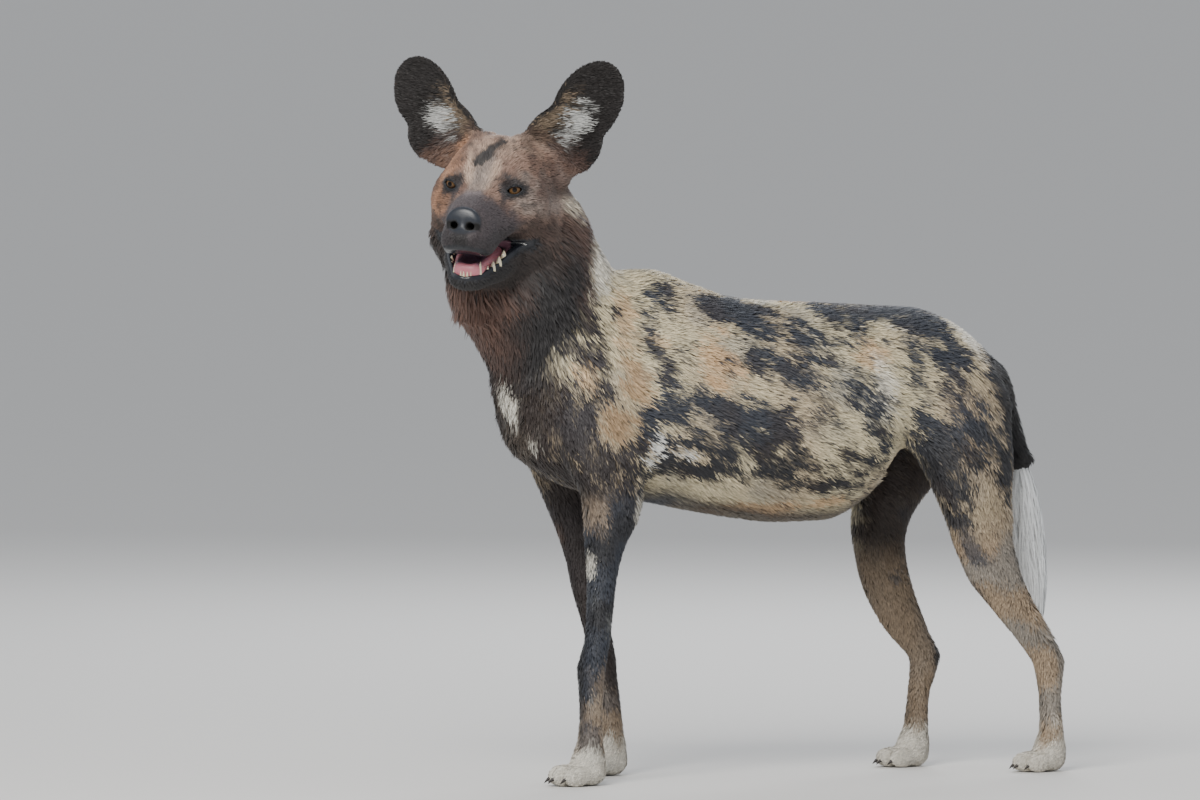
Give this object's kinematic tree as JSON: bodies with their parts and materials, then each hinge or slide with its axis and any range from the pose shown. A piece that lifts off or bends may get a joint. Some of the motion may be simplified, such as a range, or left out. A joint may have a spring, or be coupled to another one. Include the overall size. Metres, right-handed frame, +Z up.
{
  "type": "african wild dog figure",
  "caption": "Life-size still figure of an African wild dog, standing with its head turned to its left and its mouth open, with a shaggy ruff and a hanging brush tail.",
  "frame": {"origin": "on the floor, under the middle of the whole figure's box", "axes": "-X forwards along the trunk, -Y to the dog's left, +Z up"},
  "size_m": [0.896, 0.2943, 0.9276],
  "materials": {
    "coat": "short fur, mottled cream, tan and black",
    "dark_coat": "shaggy dark brown fur",
    "leg_coat": "short fur, blotched dark and tan",
    "white_coat": "long white hair",
    "face": "very short fur over skin",
    "tongue": "moist",
    "nose": "moist, pebbled",
    "eye": "wet gloss"
  },
  "bodies": {
    "root": {"head": "face", "lower_jaw": "face", "tongue": "tongue", "nose": "nose", "eye_left": "eye", "eye_right": "eye", "ear_left": "dark_coat", "ear_right": "dark_coat", "neck": "dark_coat", "torso": "coat", "foreleg_left": "leg_coat", "foreleg_right": "leg_coat", "hindleg_left": "leg_coat", "hindleg_right": "leg_coat", "paw_fore_left": "leg_coat", "paw_fore_right": "leg_coat", "paw_hind_left": "leg_coat", "paw_hind_right": "leg_coat", "tail_base": "dark_coat", "tail_brush": "white_coat"}
  },
  "joints": []
}
